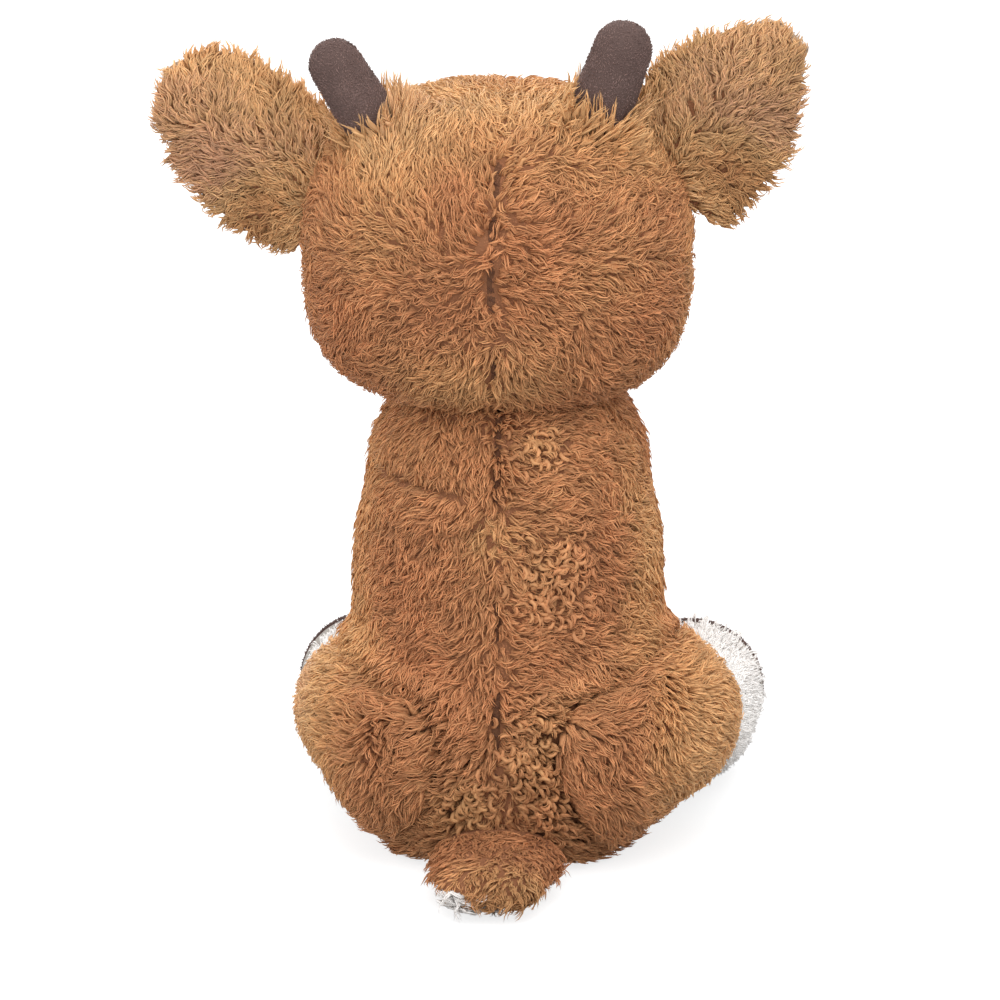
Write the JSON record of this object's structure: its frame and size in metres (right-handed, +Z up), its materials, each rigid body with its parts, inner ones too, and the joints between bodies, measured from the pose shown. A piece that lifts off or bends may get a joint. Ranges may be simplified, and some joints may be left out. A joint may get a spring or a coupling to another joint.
{
  "type": "plush deer",
  "caption": "Seated soft toy deer in brown long-pile plush, with dark stub antlers, broad ears, white feet and a short tail.",
  "frame": {"origin": "middle of the seat, on the floor plane", "axes": "+Z up; the deer faces -Y; its left side is +X"},
  "size_m": [0.1973, 0.171, 0.2575],
  "materials": {
    "brown_plush": "long-pile polyester plush, wavy and matt",
    "white_plush": "long-pile polyester plush, matt",
    "dark_fleece": "short-pile polyester fleece, matt",
    "ear_lining_cloth": "short-pile velboa, matt",
    "stuffing": "polyester fibre",
    "pellets": "plastic pellets in a cloth pouch",
    "eye_plastic": "polished black",
    "washer_plastic": "moulded"
  },
  "bodies": {
    "torso": {"body_skin": "brown_plush", "belly_panel": "white_plush", "body_fill": "stuffing", "pellet_pouch": "pellets"},
    "head": {"head_skin": "brown_plush", "head_fill": "stuffing", "muzzle_skin": "white_plush", "nose": "dark_fleece", "eye_left": "eye_plastic", "eye_right": "eye_plastic", "eye_washer_left": "washer_plastic", "eye_washer_right": "washer_plastic"},
    "ear_left": {"ear_left_back": "brown_plush", "ear_left_lining": "ear_lining_cloth"},
    "ear_right": {"ear_right_back": "brown_plush", "ear_right_lining": "ear_lining_cloth"},
    "antler_left": {"antler_left_skin": "dark_fleece", "antler_left_fill": "stuffing"},
    "antler_right": {"antler_right_skin": "dark_fleece", "antler_right_fill": "stuffing"},
    "front_leg_left": {"front_leg_left_skin": "brown_plush", "front_sock_left": "white_plush", "front_hoof_left": "dark_fleece", "front_leg_left_fill": "stuffing"},
    "front_leg_right": {"front_leg_right_skin": "brown_plush", "front_sock_right": "white_plush", "front_hoof_right": "dark_fleece", "front_leg_right_fill": "stuffing"},
    "hind_leg_left": {"hind_leg_left_skin": "brown_plush", "hind_foot_left": "white_plush", "hind_sole_left": "dark_fleece", "hind_leg_left_fill": "stuffing"},
    "hind_leg_right": {"hind_leg_right_skin": "brown_plush", "hind_foot_right": "white_plush", "hind_sole_right": "dark_fleece", "hind_leg_right_fill": "stuffing"},
    "tail": {"tail_top": "brown_plush", "tail_underside": "white_plush"}
  },
  "joints": [
    {"name": "neck_nod", "type": "hinge", "parent": "torso", "child": "head", "pos_m": [0, -0.002, 0.112], "axis": [1, 0, 0], "range_deg": [-10, 12], "stiffness_Nm_per_rad": 0.5},
    {"name": "ear_left_flop", "type": "hinge", "parent": "head", "child": "ear_left", "pos_m": [0.06116, -0.01, 0.19778], "axis": [0.4695, 0, -0.8829], "range_deg": [-8, 35], "stiffness_Nm_per_rad": 0.01},
    {"name": "ear_right_flop", "type": "hinge", "parent": "head", "child": "ear_right", "pos_m": [-0.05045, -0.00997, 0.2079], "axis": [0.7431, 0, 0.6691], "range_deg": [-8, 35], "stiffness_Nm_per_rad": 0.01},
    {"name": "antler_left_flex", "type": "hinge", "parent": "head", "child": "antler_left", "pos_m": [0.04002, 0.00627, 0.22417], "axis": [1, 0, 0], "range_deg": [-10, 10], "stiffness_Nm_per_rad": 0.005},
    {"name": "antler_right_flex", "type": "hinge", "parent": "head", "child": "antler_right", "pos_m": [-0.0272, 0.00488, 0.22726], "axis": [1, 0, 0], "range_deg": [-10, 10], "stiffness_Nm_per_rad": 0.005},
    {"name": "front_leg_left_swing", "type": "hinge", "parent": "torso", "child": "front_leg_left", "pos_m": [0.019, -0.04378, 0.112], "axis": [-1, 0, 0], "range_deg": [0, 45], "stiffness_Nm_per_rad": 0.02},
    {"name": "front_leg_right_swing", "type": "hinge", "parent": "torso", "child": "front_leg_right", "pos_m": [-0.019, -0.04378, 0.112], "axis": [-1, 0, 0], "range_deg": [0, 45], "stiffness_Nm_per_rad": 0.02},
    {"name": "hind_leg_left_lift", "type": "hinge", "parent": "torso", "child": "hind_leg_left", "pos_m": [0.0425, 0.008, 0.04], "axis": [-0.9063, 0, 0.4226], "range_deg": [0, 25], "stiffness_Nm_per_rad": 0.05},
    {"name": "hind_leg_right_lift", "type": "hinge", "parent": "torso", "child": "hind_leg_right", "pos_m": [-0.0425, 0.008, 0.04], "axis": [-0.9063, 0, -0.4226], "range_deg": [0, 25], "stiffness_Nm_per_rad": 0.05},
    {"name": "tail_lift", "type": "hinge", "parent": "torso", "child": "tail", "pos_m": [0, 0.0405, 0.019], "axis": [1, 0, 0], "range_deg": [0, 40], "stiffness_Nm_per_rad": 0.01}
  ]
}
